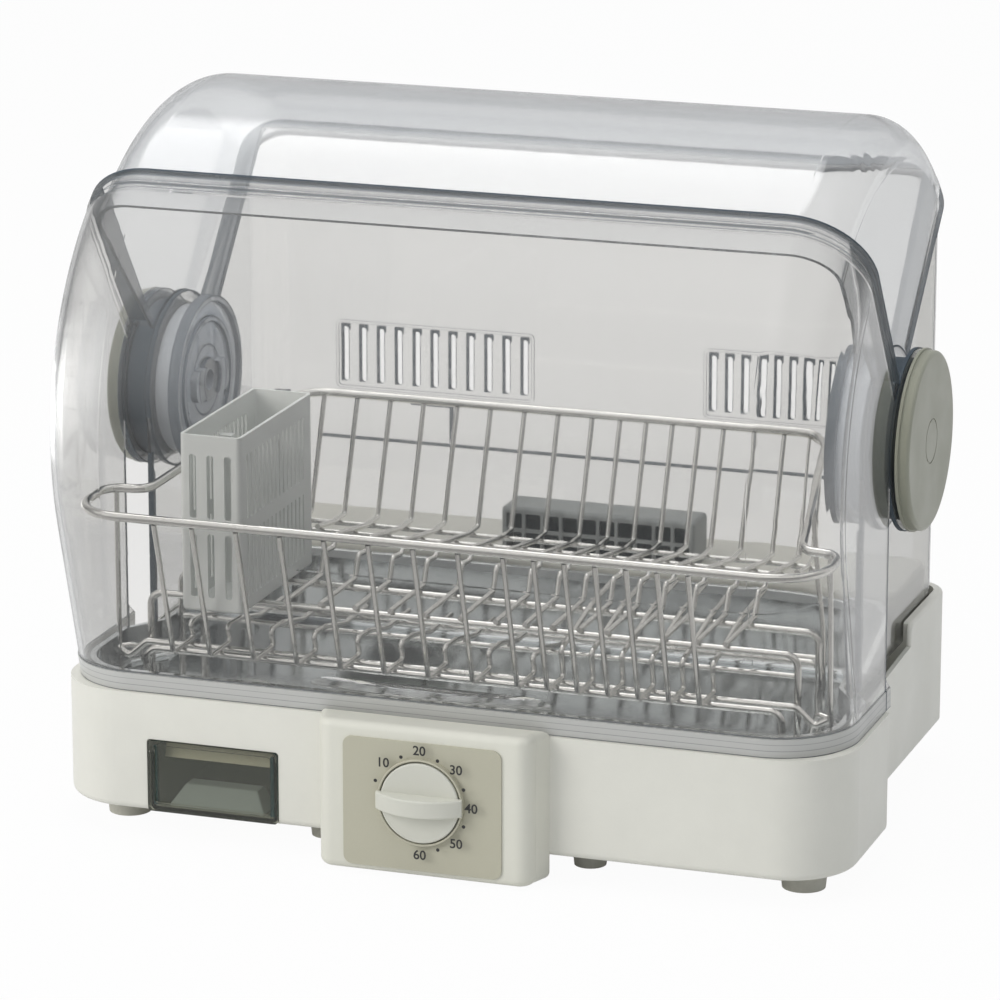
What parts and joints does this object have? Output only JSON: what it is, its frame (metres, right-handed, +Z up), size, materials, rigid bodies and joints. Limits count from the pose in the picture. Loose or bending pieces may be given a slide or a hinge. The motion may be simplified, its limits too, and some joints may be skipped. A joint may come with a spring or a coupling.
{
  "type": "dish dryer",
  "caption": "Countertop electric dish dryer with nested clear covers over a wire basket and steel tray, a cutlery holder, hot-air outlet, timer knob and small water drawer.",
  "frame": {"origin": "centre of the bounding box's footprint, on the floor under the feet", "axes": "+X to the right as seen from the front, +Y to the back, +Z up"},
  "size_m": [0.4644, 0.327, 0.3955],
  "materials": {
    "ivory_plastic": "satin",
    "panel_plastic": "satin",
    "bottom_plastic": "matt",
    "dial_grey": "satin",
    "knob_plastic": "satin",
    "cap_grey": "satin",
    "clear_cover": "clear, gloss",
    "smoked_clear": "smoked, gloss",
    "tray_steel": "mirror polished",
    "wire_steel": "bright",
    "holder_grey": "satin",
    "louvre_grey": "satin",
    "foot_rubber": "matt",
    "dark_plastic": "matt",
    "washer_nylon": "satin",
    "screw_steel": "zinc plated",
    "motor_steel": "bare laminations",
    "duct_steel": "galvanized",
    "coil_copper": "enamelled wire",
    "bearing_bronze": "sintered",
    "mica": "flaky sheet",
    "heater_wire": "oxidised",
    "lead_insulation": "satin",
    "terminal_plastic": "satin"
  },
  "bodies": {
    "base": {"base_housing": "ivory_plastic", "bottom_cover": "bottom_plastic", "case_screws": "screw_steel", "rubber_feet": "foot_rubber", "inlet_filter": "dark_plastic", "control_panel": "panel_plastic", "dial_plate": "dial_grey", "panel_screws": "screw_steel", "timer_unit": "dark_plastic", "outlet_louvre": "louvre_grey", "rear_cover": "clear_cover", "hinge_pin_left": "cap_grey", "hinge_pin_right": "cap_grey", "hub_cap_left": "cap_grey", "hub_cap_right": "cap_grey", "hub_disc_left": "clear_cover", "hub_disc_right": "clear_cover", "hub_spacers": "clear_cover", "hinge_washers": "washer_nylon", "fan_housing": "dark_plastic", "motor_stator": "motor_steel", "motor_coil": "coil_copper", "motor_brackets": "duct_steel", "motor_bearings": "bearing_bronze", "motor_screws": "screw_steel", "air_duct": "duct_steel", "heater_frame": "mica", "heater_element": "heater_wire", "thermostat": "duct_steel", "thermal_fuse": "terminal_plastic", "terminal_block": "terminal_plastic", "lead_wires": "lead_insulation", "cord_gland": "dark_plastic"},
    "front_cover": {"front_cover": "clear_cover"},
    "top_cover": {"top_cover": "clear_cover"},
    "timer": {"timer_knob": "knob_plastic", "timer_shaft": "screw_steel"},
    "drawer": {"water_tray": "smoked_clear"},
    "fan_rotor": {"fan_impeller": "dark_plastic", "motor_shaft": "screw_steel", "motor_rotor": "motor_steel"},
    "tray": {"drain_tray": "tray_steel", "drain_spout": "holder_grey"},
    "basket": {"basket_rim": "wire_steel", "basket_front_wires": "wire_steel", "basket_rear_wires": "wire_steel", "basket_cross_wires": "wire_steel", "basket_legs": "wire_steel"},
    "holder": {"cutlery_holder": "holder_grey", "cutlery_divider": "holder_grey"}
  },
  "joints": [
    {"name": "front_cover_hinge", "type": "hinge", "parent": "base", "child": "front_cover", "pos_m": [0, 0.0215, 0.222], "axis": [-1, 0, 0], "range_deg": [0, 105]},
    {"name": "top_cover_hinge", "type": "hinge", "parent": "base", "child": "top_cover", "pos_m": [0, 0.0215, 0.222], "axis": [-1, 0, 0], "range_deg": [0, 80]},
    {"name": "timer_turn", "type": "hinge", "parent": "base", "child": "timer", "pos_m": [0, -0.15, 0.0454], "axis": [0, 1, 0], "range_deg": [0, 270]},
    {"name": "drawer_slide", "type": "slide", "parent": "base", "child": "drawer", "axis": [0, -1, 0], "range_m": [0, 0.095]},
    {"name": "fan_spin", "type": "hinge", "parent": "base", "child": "fan_rotor", "pos_m": [0.008, 0.09, 0.064], "axis": [0, 1, 0], "continuous": true},
    {"name": "tray_lift", "type": "slide", "parent": "base", "child": "tray", "axis": [0, 0, 1], "range_m": [0, 0.012]},
    {"name": "basket_lift", "type": "slide", "parent": "tray", "child": "basket", "axis": [0, 0, 1], "range_m": [0, 0.03]},
    {"name": "holder_lift", "type": "slide", "parent": "basket", "child": "holder", "axis": [0, 0, 1], "range_m": [0, 0.05]}
  ]
}
